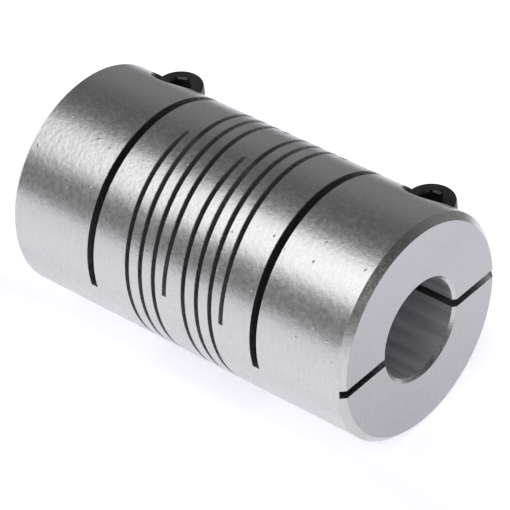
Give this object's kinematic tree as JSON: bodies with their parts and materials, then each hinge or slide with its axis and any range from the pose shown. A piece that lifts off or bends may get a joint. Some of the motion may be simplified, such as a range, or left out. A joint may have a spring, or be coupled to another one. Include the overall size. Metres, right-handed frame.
{
  "type": "beam coupling",
  "caption": "Flexible shaft coupling: a slit tube whose helical beams bend and stretch, with a split clamp and a cap screw at each end.",
  "frame": {"origin": "centre of the coupling, on its axis", "axes": "+X along the axis, +Y towards the open side of the clamps, +Z towards the heads of the clamp screws"},
  "size_m": [0.058, 0.032, 0.032],
  "materials": {
    "machined_aluminium": "fine turned, satin",
    "black_oxide_steel": "black oxide"
  },
  "bodies": {
    "left_hub": {"left_hub": "machined_aluminium", "left_clamp_web": "machined_aluminium"},
    "left_jaw": {"left_clamp_jaw": "machined_aluminium"},
    "left_screw": {"left_clamp_screw": "black_oxide_steel"},
    "left_beams_outer": {"left_beam_1_outer": "machined_aluminium", "left_beam_2_outer": "machined_aluminium", "left_beam_3_outer": "machined_aluminium"},
    "left_beams_inner": {"left_beam_1_inner": "machined_aluminium", "left_beam_2_inner": "machined_aluminium", "left_beam_3_inner": "machined_aluminium"},
    "right_hub": {"right_hub": "machined_aluminium", "right_clamp_web": "machined_aluminium"},
    "right_jaw": {"right_clamp_jaw": "machined_aluminium"},
    "right_screw": {"right_clamp_screw": "black_oxide_steel"},
    "right_beams_outer": {"right_beam_1_outer": "machined_aluminium", "right_beam_2_outer": "machined_aluminium", "right_beam_3_outer": "machined_aluminium"},
    "right_beams_inner": {"right_beam_1_inner": "machined_aluminium", "right_beam_2_inner": "machined_aluminium", "right_beam_3_inner": "machined_aluminium"},
    "centre_ring": {"centre_ring": "machined_aluminium"}
  },
  "joints": [
    {"name": "left_bend_y", "type": "hinge", "parent": "left_hub", "child": "left_beams_outer", "pos_m": [-0.0049, 0, 0], "axis": [0, 1, 0], "range_deg": [-1.5, 1.5], "stiffness_Nm_per_rad": 3, "deforming": ["left_beam_1_outer", "left_beam_2_outer", "left_beam_3_outer"]},
    {"name": "left_axial_flex", "type": "slide", "parent": "left_beams_outer", "child": "left_beams_inner", "axis": [1, 0, 0], "range_m": [-0.00025, 0.00025], "stiffness_N_per_m": 6000},
    {"name": "left_bend_z", "type": "hinge", "parent": "left_beams_inner", "child": "centre_ring", "pos_m": [-0.0049, 0, 0], "axis": [0, 0, 1], "range_deg": [-1.5, 1.5], "stiffness_Nm_per_rad": 3, "deforming": ["left_beam_1_inner", "left_beam_2_inner", "left_beam_3_inner"]},
    {"name": "right_bend_z", "type": "hinge", "parent": "centre_ring", "child": "right_beams_inner", "pos_m": [0.0049, 0, 0], "axis": [0, 0, 1], "range_deg": [-1.5, 1.5], "stiffness_Nm_per_rad": 3, "deforming": ["right_beam_1_inner", "right_beam_2_inner", "right_beam_3_inner"]},
    {"name": "right_twist", "type": "hinge", "parent": "right_beams_inner", "child": "right_beams_outer", "pos_m": [0.0049, 0, 0], "axis": [1, 0, 0], "range_deg": [-1, 1], "stiffness_Nm_per_rad": 1.5},
    {"name": "right_bend_y", "type": "hinge", "parent": "right_beams_outer", "child": "right_hub", "pos_m": [0.0049, 0, 0], "axis": [0, 1, 0], "range_deg": [-1.5, 1.5], "stiffness_Nm_per_rad": 3, "deforming": ["right_beam_1_outer", "right_beam_2_outer", "right_beam_3_outer"]},
    {"name": "left_jaw_close", "type": "hinge", "parent": "left_hub", "child": "left_jaw", "pos_m": [-0.02189, -0.0115, -0.00045], "axis": [-1, 0, 0], "range_deg": [0, 0.375], "stiffness_Nm_per_rad": 5, "deforming": ["left_clamp_web"]},
    {"name": "left_screw_turn", "type": "hinge", "parent": "left_jaw", "child": "left_screw", "pos_m": [-0.02189, 0.0115, 0], "axis": [0, 0, -1], "range_deg": [0, 78]},
    {"name": "right_jaw_close", "type": "hinge", "parent": "right_hub", "child": "right_jaw", "pos_m": [0.02189, -0.0115, -0.00045], "axis": [-1, 0, 0], "range_deg": [0, 0.375], "stiffness_Nm_per_rad": 5, "deforming": ["right_clamp_web"]},
    {"name": "right_screw_turn", "type": "hinge", "parent": "right_jaw", "child": "right_screw", "pos_m": [0.02189, 0.0115, 0], "axis": [0, 0, -1], "range_deg": [0, 78]}
  ],
  "couplings": [
    {"joint": "left_screw_turn", "follows": "left_jaw_close", "ratio": 206.45},
    {"joint": "right_screw_turn", "follows": "right_jaw_close", "ratio": 206.45}
  ]
}
